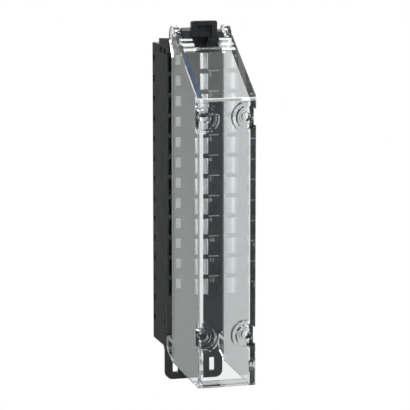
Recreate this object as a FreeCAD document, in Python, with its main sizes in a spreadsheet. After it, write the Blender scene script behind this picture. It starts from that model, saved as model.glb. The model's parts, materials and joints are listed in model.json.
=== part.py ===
import FreeCAD, Part
import os

import Sketcher

# Twelve-way plug-on terminal block with a hinged clear cover and a release lever.
# Frame: origin on the flat rear face, on its centre line, at the rib between the rear sockets of
# ways 7 and 8. +Z is up, the front faces -Y, lengths are in millimetres.
# Depths are measured forward from the rear face, so a depth d lies at Y = -d.
# Heights in the sketches are from the middle of the block; each piece is then lowered alike.

SIZES = {
    # ways
    "ways": 12,
    "pitch": 7.62,
    "way_margin": 6.35,
    "way_opening": 6.2,
    # housing block
    "block_width": 21.4,
    "block_height": 113.3,
    "block_depth": 20.9,
    "block_corner": 1.0,
    "head_back": 9.9,
    "head_rise_back": 2.3,
    "head_rise_front": 3.4,
    "nose_length": 3.0,
    "nose_height": 5.0,
    "nose_slope": 0.7,
    "nose_floor": 0.3,
    # rear edge notches
    "notches": 14,
    "notch_height": 2.3,
    "notch_depth": 3.0,
    "notch_inset": 1.2,
    "notch_lip": 0.45,
    "notch_rise": 0.35,
    # finger chambers at the left of each way
    "chamber_wall": 0.7,
    "chamber_width": 2.7,
    "chamber_depth": 5.0,
    # contact strips
    "contact_margin": 1.9,
    "contact_width": 2.0,
    "contact_height": 3.7,
    "contact_rise": 1.4,
    "contact_gap": 0.1,
    "contact_setback": 0.5,
    "bridge_depth": 8.4,
    "bridge_thickness": 0.8,
    "fork_gap": 0.7,
    "fork_leg": 0.8,
    "fork_setback": 1.0,
    # wire clamps
    "clamp_margin": 0.3,
    "clamp_width": 3.1,
    "clamp_height": 5.95,
    "clamp_drop": 0.2,
    "clamp_proud": 0.3,
    "clamp_groove": 1.25,
    "clamp_groove_sink": 0.75,
    "clamp_gap": 0.1,
    # marker strip and markers
    "strip_inset": 1.05,
    "strip_width": 4.45,
    "strip_thickness": 0.8,
    "strip_sink": 1.2,
    "marker_thickness": 0.8,
    "marker_gap": 0.5,
    "marker_margin": 0.05,
    "marker_dimple": 2.1,
    "marker_dimple_sink": 0.35,
    # cable tie plate
    "plate_step": 0.2,
    "plate_thickness": 2.2,
    "plate_setback": 1.3,
    "plate_drop": 12.3,
    "plate_overlap": 2.5,
    "plate_corner": 2.6,
    "plate_web": 2.2,
    "tie_width": 2.4,
    "tie_height": 5.3,
    "tie_offset": 7.0,
    "tie_margin": 2.45,
    # finger mark on the left face
    "arc_radius": 3.8,
    "arc_width": 0.7,
    "arc_sink": 0.4,
    "arc_depth": 14.3,
    "arc_rise": 12.2,
    # side pockets of the head
    "pocket_length": 3.3,
    "pocket_height": 2.2,
    "pocket_sink": 1.2,
    "pocket_first": 10.9,
    "pocket_second": 16.7,
    "pocket_drop": 3.0,
    # hinge
    "hinge_depth": 28.7,
    "hinge_rise": 4.3,
    "pin_diameter": 3.2,
    "pin_clearance": 0.05,
    "pin_end_gap": 0.2,
    "lug_radius": 3.4,
    "lug_gap": 1.2,
    "lug_small": 2.5,
    "lug_small_gap": 0.6,
    "lug_inner": 3.3,
    "lug_base": 6.5,
    # lever
    "lever_side_gap": 0.3,
    "lever_hub": 2.9,
    "lever_cheek": 0.9,
    "lever_window_back": 2.6,
    "pin_inner_gap": 0.1,
    "lever_width": 9.5,
    "lever_back": 3.75,
    "lever_thickness": 2.3,
    "lever_bottom": 0.4,
    "lever_height": 5.8,
    "lever_recess_width": 5.5,
    "lever_recess_height": 4.2,
    "lever_recess_sink": 1.6,
    "lever_corner": 0.7,
    "tail_length": 6.6,
    "tail_height": 2.4,
    "tail_gap": 2.0,
    "tail_sweep": 6.5,
    # clear cover
    "cover_wall": 2.2,
    "cover_front": 64.7,
    "cover_step": 0.0,
    "wall_inset": 0.4,
    "cover_bottom_rise": 1.4,
    "panel_rise": 0.15,
    "cover_slope": 0.62,
    "cover_edge": 0.5,
    "panel_reach": 6.0,
    "ear_radius": 4.2,
    "ear_waist": 7.4,
    "ear_recess": 1.3,
    "cutout_gap": 0.3,
    "cutout_reach": 10.8,
    "rib_count": 3,
    "rib_margin": 2.4,
    "rib_pitch": 2.55,
    "rib_width": 1.1,
    "rib_height": 0.55,
    "lip_reach": 5.8,
    "lip_thickness": 0.8,
    # round pockets of the cover
    "cup_inset": 2.9,
    "cup_upper_drop": 7.2,
    "cup_lower_rise": 18.0,
    "cup_diameter": 8.2,
    "cup_sink": 3.4,
    "cup_wall": 1.3,
    "cup_ring_outer": 5.0,
    "cup_ring_height": 1.1,
    "cup_hole": 3.2,
    # loops behind the cover walls
    "loop_tuck": 0.9,
    "loop_thickness": 1.8,
    "loop_clear": 14.27,
    "loop_rise": 1.3,
    "loop_length": 8.6,
    "loop_bar": 2.4,
    "loop_corner": 2.2,
    "loop_relief": 0.4,
}


def make_sheet(doc):
    """Write the driving sizes into the sheet, one alias for each."""
    sheet = doc.addObject("Spreadsheet::Sheet", "Sizes")
    for row, (name, value) in enumerate(SIZES.items(), start=1):
        sheet.set("A%d" % row, name)
        sheet.set("B%d" % row, str(value))
        sheet.setAlias("B%d" % row, name)
    doc.recompute()
    return sheet


def size(text):
    """Turn <name> words of an expression into cells of the sheet."""
    return text.replace("<", "Sizes.").replace(">", "")


def new_body(doc, label):
    """Start the body of one piece."""
    body = doc.addObject("PartDesign::Body", label)
    body.Label = label
    lift(body, "0")
    return body


def lift(piece, text):
    """Set the height of a piece, lowered so that the origin lies on the rear face's rib."""
    piece.setExpression("Placement.Base.z", size(text + " - " + ORIGIN_RISE))


def plane_of(body, role):
    """Find one of the body's own origin planes."""
    for feature in body.Origin.OriginFeatures:
        if feature.Role == role:
            return feature
    raise RuntimeError("no plane " + role)


def new_sketch(body, name, role, offset=None):
    """Lay a sketch on an origin plane, moved along its normal by a size."""
    sketch = body.newObject("Sketcher::SketchObject", name)
    sketch.AttachmentSupport = (plane_of(body, role), [""])
    sketch.MapMode = "FlatFace"
    if offset:
        sketch.setExpression("AttachmentOffset.Base.z", size(offset))
    return sketch


def value_of(sketch, text):
    """Read an expression as a number, for the first place of a point."""
    found = sketch.evalExpression(size(text))
    return float(getattr(found, "Value", found))


def hold(sketch, kind, where, text):
    """Add a dimension and tie it to the sheet."""
    index = sketch.addConstraint(Sketcher.Constraint(kind, *where, value_of(sketch, text)))
    sketch.setExpression("Constraints[%d]" % index, size(text))


def hold_point(sketch, geometry, point, place):
    """Fix a point of the sketch at two tied distances from its origin."""
    for kind, axis, text in (("DistanceX", -2, place[0]), ("DistanceY", -1, place[1])):
        if text == "0":
            sketch.addConstraint(Sketcher.Constraint("PointOnObject", geometry, point, axis))
        else:
            hold(sketch, kind, (-1, 1, geometry, point), text)


def outline(sketch, points):
    """Draw a closed outline of straight lines through tied points."""
    places = [FreeCAD.Vector(value_of(sketch, u), value_of(sketch, v), 0) for u, v in points]
    first = sketch.GeometryCount
    count = len(points)
    for i in range(count):
        sketch.addGeometry(Part.LineSegment(places[i], places[(i + 1) % count]))
    for i in range(count):
        sketch.addConstraint(
            Sketcher.Constraint("Coincident", first + i, 2, first + (i + 1) % count, 1))
    for i, place in enumerate(points):
        hold_point(sketch, first + i, 1, place)


def rectangle(sketch, left, right, bottom, top):
    """Draw a rectangle between four tied distances."""
    outline(sketch, [(left, bottom), (right, bottom), (right, top), (left, top)])


def circle(sketch, centre, diameter):
    """Draw a circle with a tied centre and diameter."""
    middle = FreeCAD.Vector(value_of(sketch, centre[0]), value_of(sketch, centre[1]), 0)
    radius = value_of(sketch, diameter) / 2
    index = sketch.addGeometry(Part.Circle(middle, FreeCAD.Vector(0, 0, 1), radius))
    hold(sketch, "Diameter", (index,), diameter)
    hold_point(sketch, index, 3, centre)


def add_pad(body, sketch, length, midplane=False, backwards=False):
    """Pad a sketch by a tied length."""
    pad = body.newObject("PartDesign::Pad", "Pad_" + sketch.Name)
    pad.Profile = sketch
    pad.Midplane = midplane
    pad.Reversed = backwards
    pad.setExpression("Length", size(length))
    return pad


def add_pocket(body, sketch, length, midplane=False, backwards=False):
    """Pocket a sketch by a tied length, against its normal unless backwards."""
    pocket = body.newObject("PartDesign::Pocket", "Pocket_" + sketch.Name)
    pocket.Profile = sketch
    pocket.Midplane = midplane
    pocket.Reversed = backwards
    pocket.setExpression("Length", size(length))
    return pocket


def add_column(body, feature, length, count):
    """Repeat a feature down the block, from the first way to the last."""
    pattern = body.newObject("PartDesign::LinearPattern", "Column_" + feature.Name)
    pattern.Originals = [feature]
    pattern.Direction = (feature.Profile[0], ["V_Axis"])
    pattern.Reversed = True
    pattern.setExpression("Length", size(length))
    pattern.setExpression("Occurrences", size(count))
    body.Tip = pattern
    return pattern


def add_fillet(doc, body, name, radius, wanted):
    """Round the edges of the body that the test picks."""
    doc.recompute()
    base = body.Tip
    picked = []
    for number, edge in enumerate(base.Shape.Edges, start=1):
        if wanted(edge):
            picked.append("Edge%d" % number)
    if not picked:
        raise RuntimeError("no edge to round: " + name)
    fillet = body.newObject("PartDesign::Fillet", name)
    fillet.Base = (base, picked)
    fillet.setExpression("Radius", size(radius))
    return fillet


def runs_along(edge, axis):
    """Say whether an edge is a straight line along one axis."""
    if len(edge.Vertexes) != 2:
        return False
    span = edge.Vertexes[1].Point - edge.Vertexes[0].Point
    return span.Length > 0 and abs(abs(span[axis]) - span.Length) < 1e-6


# Shared places, as expressions of the sheet. Heights are from the middle of the block.
HALF = "(<block_width> / 2)"
COVER_HALF = "(" + HALF + " + <cover_step>)"
TOP = "(<block_height> / 2)"
COLUMN = "((<ways> - 1) * <pitch>)"
FIRST_WAY = "(" + TOP + " - <way_margin>)"
LAST_WAY = "(" + FIRST_WAY + " - " + COLUMN + ")"
ORIGIN_RISE = "(" + FIRST_WAY + " + <contact_rise> - (floor(<ways> / 2) + 0.5) * <pitch>)"
PLATE_FRONT = "(<block_depth> - <plate_setback>)"
PLATE_BOTTOM = "(" + TOP + " + <plate_drop>)"
HINGE_Z = "(" + TOP + " + <hinge_rise>)"
COVER_BACK = "(<hinge_depth> - <wall_inset>)"
# The loops stand below the last way, and the cover ends below them.
LOOP_TOP = "(<pitch> / 2 + <loop_clear> - " + LAST_WAY + ")"
LOOP_BOTTOM = "(" + LOOP_TOP + " + <loop_length>)"
COVER_BOTTOM = "(" + LOOP_BOTTOM + " + <loop_rise>)"
PANEL_END = "(<hinge_depth> + <panel_reach>)"
PANEL_TOP = "(" + HINGE_Z + " + <panel_rise>)"
SHOULDER = "(" + PANEL_TOP + " - <cover_slope> * (<cover_front> - " + PANEL_END + "))"
CUTOUT_FRONT = "(<hinge_depth> + <cutout_reach>)"
RIB_FIRST = "(" + CUTOUT_FRONT + " + <rib_margin>)"
CUP_UPPER = "(" + SHOULDER + " - <cup_upper_drop>)"
CUP_LOWER = "(" + COVER_BOTTOM + " - <cup_lower_rise>)"
LOOP_END = "(<block_depth> - <loop_tuck>)"
CLAMP_BACK = "(<bridge_depth> + <bridge_thickness>)"
STRIP_FRONT = "(<block_depth> - <strip_sink> + <strip_thickness>)"
STRIP_LEFT = "(" + HALF + " - <strip_inset> - <strip_width>)"
CLAMP_LEFT = "(" + STRIP_LEFT + " - <clamp_margin> - <clamp_width>)"
CONTACT_LEFT = "(<chamber_wall> + <chamber_width> + <contact_margin> - " + HALF + ")"


def build_housing(doc):
    """Black moulded housing: way chambers, rear sockets, hinge lugs, cable tie plate."""
    body = new_body(doc, "housing")

    profile = new_sketch(body, "HousingSide", "YZ_Plane")
    outline(profile, [
        ("-<block_depth>", "-" + TOP),
        ("0", "-" + TOP),
        ("0", TOP),
        ("-<head_back>", TOP),
        ("-<head_back>", TOP + " + <head_rise_back>"),
        ("-<block_depth> - <nose_length>", TOP + " + <head_rise_front>"),
        ("-<block_depth> - <nose_length>", TOP + " + <head_rise_front> - <nose_height>"),
        ("-<block_depth>", TOP + " + <head_rise_front> - <nose_height> - <nose_slope>"),
    ])
    add_pad(body, profile, "<block_width>", midplane=True)

    add_fillet(doc, body, "RearCorners", "<block_corner>", lambda edge: (
        runs_along(edge, 0) and abs(edge.CenterOfMass.y) < 0.01))

    plate = new_sketch(body, "TiePlate", "XZ_Plane", PLATE_FRONT)
    rectangle(plate, "-" + HALF + " - <plate_step>", HALF + " + <plate_step>",
              "-" + PLATE_BOTTOM, "-" + TOP + " + <plate_overlap>")
    add_pad(body, plate, "<plate_thickness>", backwards=True)
    foot = -value_of(plate, TOP)
    add_fillet(doc, body, "PlateCorners", "<plate_corner>", lambda edge: (
        runs_along(edge, 1) and edge.CenterOfMass.z < foot - 1))

    ties = new_sketch(body, "TieSlots", "XZ_Plane", PLATE_FRONT)
    for side in ("-", ""):
        rectangle(ties, side + "<tie_offset> - <tie_width> / 2", side + "<tie_offset> + <tie_width> / 2",
                  "-" + PLATE_BOTTOM + " + <tie_margin>",
                  "-" + PLATE_BOTTOM + " + <tie_margin> + <tie_height>")
    add_pocket(body, ties, "<plate_thickness> * 2", midplane=True)

    web = new_sketch(body, "PlateWeb", "YZ_Plane")
    outline(web, [
        ("-" + PLATE_FRONT + " + <plate_thickness>", "-" + TOP + " - <plate_web>"),
        ("-" + PLATE_FRONT + " + <plate_thickness> + <plate_web>", "-" + TOP),
        ("-" + PLATE_FRONT + " + <plate_thickness>", "-" + TOP),
    ])
    add_pad(body, web, "<block_width>", midplane=True)

    lug_outer = COVER_HALF + " - <cover_wall> - <lug_gap>"
    lugs = new_sketch(body, "HingeLug", "YZ_Plane", "-(" + lug_outer + ")")
    draw_lug(lugs, "<lug_radius>")
    add_pad(body, lugs, lug_outer + " - <lug_inner>")
    small = new_sketch(body, "SmallLug", "YZ_Plane", "<lug_inner>")
    draw_lug(small, "<lug_small>")
    add_pad(body, small, COVER_HALF + " - <cover_wall> - <lug_small_gap> - <lug_inner>")

    bore = new_sketch(body, "PinBore", "YZ_Plane")
    circle(bore, ("-<hinge_depth>", HINGE_Z), "<pin_diameter>")
    add_pocket(body, bore, "<block_width>", midplane=True)

    well = new_sketch(body, "LeverWell", "YZ_Plane")
    outline(well, [
        ("-<hinge_depth> - <lug_radius> * 2", TOP + " + <head_rise_front> + <tail_sweep>"),
        ("-<hinge_depth> - <lug_radius> * 2", HINGE_Z + " - <tail_sweep>"),
        ("-<hinge_depth> + <tail_length> + <tail_sweep>", HINGE_Z + " - <tail_sweep>"),
        ("-<hinge_depth> + <tail_length> + <tail_sweep>", TOP + " + <nose_floor>"),
        ("-<head_back> + <nose_floor>", TOP + " + <nose_floor>"),
        ("-<head_back> + <nose_floor>", TOP + " + <head_rise_front> + <tail_sweep>"),
    ])
    add_pocket(body, well, "<lug_inner> * 2", midplane=True)

    chamber = new_sketch(body, "Chamber", "XZ_Plane", "<block_depth>")
    rectangle(chamber, "-" + HALF + " + <chamber_wall>", "-" + HALF + " + <chamber_wall> + <chamber_width>",
              FIRST_WAY + " - <way_opening> / 2", FIRST_WAY + " + <way_opening> / 2")
    add_column(body, add_pocket(body, chamber, "<chamber_depth>"), COLUMN, "<ways>")

    window = new_sketch(body, "ContactWindow", "XZ_Plane", "<block_depth>")
    rectangle(window, CONTACT_LEFT + " - <contact_gap>", CONTACT_LEFT + " + <contact_width> + <contact_gap>",
              FIRST_WAY + " + <contact_rise> - <contact_height> / 2 - <contact_gap>",
              FIRST_WAY + " + <contact_rise> + <contact_height> / 2 + <contact_gap>")
    add_column(body, add_pocket(body, window, "<block_depth> - " + CLAMP_BACK), COLUMN, "<ways>")

    seat = new_sketch(body, "ClampSeat", "XZ_Plane", "<block_depth>")
    rectangle(seat, CLAMP_LEFT + " - <clamp_gap>", CLAMP_LEFT + " + <clamp_width> + <clamp_gap>",
              FIRST_WAY + " - <clamp_drop> - <clamp_height> / 2 - <clamp_gap>",
              FIRST_WAY + " - <clamp_drop> + <clamp_height> / 2 + <clamp_gap>")
    add_column(body, add_pocket(body, seat, "<block_depth> - " + CLAMP_BACK), COLUMN, "<ways>")

    socket = new_sketch(body, "RearSocket", "XZ_Plane")
    rectangle(socket, CONTACT_LEFT + " - <contact_gap>", CLAMP_LEFT + " + <clamp_width> + <clamp_gap>",
              FIRST_WAY + " + <contact_rise> - <contact_height> / 2 - <contact_gap>",
              FIRST_WAY + " + <contact_rise> + <contact_height> / 2 + <contact_gap>")
    add_column(body, add_pocket(body, socket, CLAMP_BACK, backwards=True), COLUMN, "<ways>")

    notch = new_sketch(body, "Notch", "XZ_Plane", "<notch_lip>")
    for inner, outer in (("-" + HALF + " + <notch_inset>", "-" + HALF + " - <notch_inset>"),
                         (HALF + " - <notch_inset>", HALF + " + <notch_inset>")):
        rectangle(notch, outer, inner,
                  FIRST_WAY + " + <notch_rise> - <notch_height> / 2",
                  FIRST_WAY + " + <notch_rise> + <notch_height> / 2")
    add_column(body, add_pocket(body, notch, "<notch_depth>", backwards=True),
               "(<notches> - 1) * <pitch>", "<notches>")

    groove = new_sketch(body, "StripSeat", "XZ_Plane", "<block_depth>")
    rectangle(groove, STRIP_LEFT, STRIP_LEFT + " + <strip_width>",
              LAST_WAY + " - <pitch> / 2", FIRST_WAY + " + <pitch> / 2")
    add_pocket(body, groove, "<strip_sink>")

    mark = new_sketch(body, "FingerMark", "YZ_Plane", "-" + HALF)
    draw_arc_band(mark, ("-<arc_depth>", "-" + TOP + " + <arc_rise>"), "<arc_radius>", "<arc_width>")
    add_pocket(body, mark, "<arc_sink>", backwards=True)

    sides = new_sketch(body, "HeadPockets", "YZ_Plane", "-" + HALF)
    for depth in ("<pocket_first>", "<pocket_second>"):
        rectangle(sides, "-" + depth + " - <pocket_length>", "-" + depth,
                  TOP + " - <pocket_drop>", TOP + " - <pocket_drop> + <pocket_height>")
    add_pocket(body, sides, "<pocket_sink>", backwards=True)

    relief = new_sketch(body, "LoopRelief", "XZ_Plane", "<block_depth>")
    for inner, outer in (("-" + COVER_HALF + " + <loop_thickness> + <loop_relief>",
                          "-" + COVER_HALF + " - <loop_relief>"),
                         (COVER_HALF + " - <loop_thickness> - <loop_relief>",
                          COVER_HALF + " + <loop_relief>")):
        rectangle(relief, outer, inner, "-" + TOP + " - <loop_relief>", "-" + LOOP_TOP + " + <loop_relief>")
    add_pocket(body, relief, "<plate_setback>")
    return body


def draw_lug(sketch, radius):
    """Draw the side view of a hinge lug that reaches forward to the pin."""
    outline(sketch, [
        ("-<block_depth>", HINGE_Z + " - <lug_base>"),
        ("-<block_depth>", TOP + " + <head_rise_front>"),
        ("-<hinge_depth>", HINGE_Z + " + " + radius),
        ("-<hinge_depth> - " + radius + " * 0.7", HINGE_Z + " + " + radius + " * 0.714"),
        ("-<hinge_depth> - " + radius, HINGE_Z + " - 0.01"),
        ("-<hinge_depth> - " + radius + " * 0.7", HINGE_Z + " - " + radius + " * 0.714"),
        ("-<hinge_depth>", HINGE_Z + " - " + radius),
    ])


def draw_arc_band(sketch, centre, radius, width):
    """Draw a crescent: two arcs about one centre, joined at their ends."""
    half_turn = 70
    middle = FreeCAD.Vector(value_of(sketch, centre[0]), value_of(sketch, centre[1]), 0)
    axis = FreeCAD.Vector(0, 0, 1)
    start = (180 - half_turn) * 3.14159265 / 180
    end = (180 + half_turn) * 3.14159265 / 180
    inner_text = "(" + radius + " - " + width + " / 2)"
    outer_text = "(" + radius + " + " + width + " / 2)"
    arcs = []
    for text in (inner_text, outer_text):
        ring = Part.Circle(middle, axis, value_of(sketch, text))
        arcs.append(sketch.addGeometry(Part.ArcOfCircle(ring, start, end)))
    ends = []
    for point in (1, 2):
        a = sketch.getPoint(arcs[0], point)
        b = sketch.getPoint(arcs[1], point)
        ends.append(sketch.addGeometry(Part.LineSegment(a, b)))
        sketch.addConstraint(Sketcher.Constraint("Coincident", ends[-1], 1, arcs[0], point))
        sketch.addConstraint(Sketcher.Constraint("Coincident", ends[-1], 2, arcs[1], point))
    sketch.addConstraint(Sketcher.Constraint("Coincident", arcs[0], 3, arcs[1], 3))
    hold_point(sketch, arcs[0], 3, centre)
    hold(sketch, "Radius", (arcs[0],), inner_text)
    hold(sketch, "Radius", (arcs[1],), outer_text)


def build_contact(doc, number):
    """Stamped contact: front tab, bridge behind the clamp, and a rear fork."""
    body = new_body(doc, "contact_%02d" % number)
    plan = new_sketch(body, "ContactPlan%02d" % number, "XY_Plane")
    tab_front = "-<block_depth> + <contact_setback>"
    bridge_front = "-" + CLAMP_BACK
    bridge_back = "-<bridge_depth>"
    middle = "(" + CONTACT_LEFT + " + " + CLAMP_LEFT + " + <clamp_width>) / 2"
    outline(plan, [
        (CONTACT_LEFT, tab_front),
        (CONTACT_LEFT + " + <contact_width>", tab_front),
        (CONTACT_LEFT + " + <contact_width>", bridge_front),
        (CLAMP_LEFT + " + <clamp_width>", bridge_front),
        (CLAMP_LEFT + " + <clamp_width>", bridge_back),
        (middle + " + <fork_gap> / 2 + <fork_leg>", bridge_back),
        (middle + " + <fork_gap> / 2 + <fork_leg>", "-<fork_setback>"),
        (middle + " + <fork_gap> / 2", "-<fork_setback>"),
        (middle + " + <fork_gap> / 2", bridge_back),
        (middle + " - <fork_gap> / 2", bridge_back),
        (middle + " - <fork_gap> / 2", "-<fork_setback>"),
        (middle + " - <fork_gap> / 2 - <fork_leg>", "-<fork_setback>"),
        (middle + " - <fork_gap> / 2 - <fork_leg>", bridge_back),
        (CONTACT_LEFT, bridge_back),
    ])
    add_pad(body, plan, "<contact_height>", midplane=True)
    lift(body, FIRST_WAY + " + <contact_rise> - %d * <pitch>" % (number - 1))
    return body


def build_clamp(doc, number):
    """Plated wire clamp with a hollow front, seated against the contact's bridge."""
    body = new_body(doc, "clamp_%02d" % number)
    plan = new_sketch(body, "ClampPlan%02d" % number, "XY_Plane")
    outline(plan, [
        (CLAMP_LEFT, "-<block_depth> - <clamp_proud>"),
        (CLAMP_LEFT + " + <clamp_width>", "-<block_depth> - <clamp_proud>"),
        (CLAMP_LEFT + " + <clamp_width>", "-" + CLAMP_BACK),
        (CLAMP_LEFT, "-" + CLAMP_BACK),
    ])
    add_pad(body, plan, "<clamp_height>", midplane=True)
    hollow = new_sketch(body, "ClampHollow%02d" % number, "XY_Plane")
    circle(hollow, (CLAMP_LEFT + " + <clamp_width> / 2",
                    "-<block_depth> - <clamp_proud> - <clamp_groove> + <clamp_groove_sink>"),
           "<clamp_groove> * 2")
    add_pocket(body, hollow, "<clamp_height>", midplane=True)
    lift(body, FIRST_WAY + " - <clamp_drop> - %d * <pitch>" % (number - 1))
    return body


def build_strip(doc):
    """Pale carrier strip for the markers, laid in its groove on the housing."""
    body = new_body(doc, "marker_strip")
    face = new_sketch(body, "StripFace", "XZ_Plane", STRIP_FRONT)
    rectangle(face, STRIP_LEFT + " + <marker_margin>", STRIP_LEFT + " + <strip_width> - <marker_margin>",
              LAST_WAY + " - <pitch> / 2 + <marker_margin>", FIRST_WAY + " + <pitch> / 2 - <marker_margin>")
    add_pad(body, face, "<strip_thickness>", backwards=True)
    return body


def build_marker(doc, number):
    """Black number plate of one way, with its round dimple."""
    body = new_body(doc, "marker_%02d" % number)
    face = new_sketch(body, "MarkerFace%02d" % number, "XZ_Plane", STRIP_FRONT)
    rectangle(face, STRIP_LEFT + " + <marker_margin>", STRIP_LEFT + " + <strip_width> - <marker_margin>",
              "-<pitch> / 2 + <marker_gap> / 2", "<pitch> / 2 - <marker_gap> / 2")
    add_pad(body, face, "<marker_thickness>")
    dimple = new_sketch(body, "MarkerDimple%02d" % number, "XZ_Plane",
                        STRIP_FRONT + " + <marker_thickness>")
    circle(dimple, (STRIP_LEFT + " + <strip_width> / 2", "-<marker_gap> / 2"), "<marker_dimple>")
    add_pocket(body, dimple, "<marker_dimple_sink>")
    lift(body, FIRST_WAY + " - %d * <pitch>" % (number - 1))
    return body


def build_pin(doc, label, side):
    """Hinge pin of one side, through the lever's cheek and the lug into the cover's ear."""
    pin = doc.addObject("Part::Cylinder", label)
    pin.Label = label
    inner = "(<lug_inner> - <lever_side_gap> - <lever_cheek> + <pin_inner_gap>)"
    outer = "(" + COVER_HALF + " - <cover_wall> + <ear_recess> - <pin_end_gap>)"
    pin.setExpression("Radius", size("<pin_diameter> / 2"))
    pin.setExpression("Height", size(outer + " - " + inner))
    pin.Placement = FreeCAD.Placement(FreeCAD.Vector(), FreeCAD.Rotation(FreeCAD.Vector(0, 1, 0), 90))
    pin.setExpression("Placement.Base.x", size(inner if side > 0 else "-" + outer))
    pin.setExpression("Placement.Base.y", size("-<hinge_depth>"))
    lift(pin, HINGE_Z)
    return pin


def build_lever(doc):
    """Black release lever: two cheeks on the pins, square finger head, short tail behind."""
    body = new_body(doc, "lever")
    head_back = "(-<hinge_depth> - <lever_back>)"
    head_front = "(-<hinge_depth> - <lever_back> - <lever_thickness>)"
    head_bottom = "(" + HINGE_Z + " + <lever_bottom>)"
    head_top = "(" + HINGE_Z + " + <lever_bottom> + <lever_height>)"
    hub_width = "(<lug_inner> - <lever_side_gap>) * 2"

    hub = new_sketch(body, "LeverHub", "YZ_Plane")
    circle(hub, ("-<hinge_depth>", HINGE_Z), "<lever_hub> * 2")
    add_pad(body, hub, hub_width, midplane=True)

    arm = new_sketch(body, "LeverArm", "YZ_Plane")
    outline(arm, [
        (head_back + " - 0.5", HINGE_Z + " + <lever_bottom>"),
        (head_back + " - 0.5", HINGE_Z + " + <lever_hub>"),
        ("-<hinge_depth>", HINGE_Z + " + <lever_hub>"),
        ("-<hinge_depth>", HINGE_Z + " + <lever_bottom>"),
    ])
    add_pad(body, arm, hub_width, midplane=True)

    tail = new_sketch(body, "LeverTail", "YZ_Plane")
    outline(tail, [
        ("-<hinge_depth>", HINGE_Z + " - <tail_gap> - <tail_height> / 2"),
        ("-<hinge_depth> + <tail_length>", HINGE_Z + " - <tail_gap> - <tail_height> / 2"),
        ("-<hinge_depth> + <tail_length>", HINGE_Z + " - <tail_gap>"),
        ("-<hinge_depth>", HINGE_Z + " - <tail_gap> + <tail_height> / 2"),
    ])
    add_pad(body, tail, hub_width, midplane=True)

    head = new_sketch(body, "LeverHead", "YZ_Plane")
    outline(head, [(head_front, head_bottom), (head_back, head_bottom),
                   (head_back, head_top), (head_front, head_top)])
    add_pad(body, head, "<lever_width>", midplane=True)
    front = value_of(head, head_front)
    top = value_of(head, head_top)
    add_fillet(doc, body, "HeadCorners", "<lever_corner>", lambda edge: (
        runs_along(edge, 1) and edge.BoundBox.YMin < front + 0.01 and edge.BoundBox.ZMax > top - 1))

    recess = new_sketch(body, "LeverRecess", "XZ_Plane",
                        "<hinge_depth> + <lever_back> + <lever_thickness>")
    rectangle(recess, "-<lever_recess_width> / 2", "<lever_recess_width> / 2",
              head_bottom + " - <lever_corner>", head_bottom + " + <lever_recess_height>")
    add_pocket(body, recess, "<lever_recess_sink>")

    window = new_sketch(body, "LeverWindow", "YZ_Plane")
    outline(window, [
        (head_back, HINGE_Z + " - <lever_hub> * 2"),
        ("-<hinge_depth> + <lever_window_back>", HINGE_Z + " - <lever_hub> * 2"),
        ("-<hinge_depth> + <lever_window_back>", HINGE_Z + " + <lever_hub> * 2"),
        (head_back, HINGE_Z + " + <lever_hub> * 2"),
    ])
    add_pocket(body, window, hub_width + " - <lever_cheek> * 2", midplane=True)

    bore = new_sketch(body, "LeverBore", "YZ_Plane")
    circle(bore, ("-<hinge_depth>", HINGE_Z), "<pin_diameter> + <pin_clearance> * 2")
    add_pocket(body, bore, "<lever_width>", midplane=True)
    return body


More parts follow.
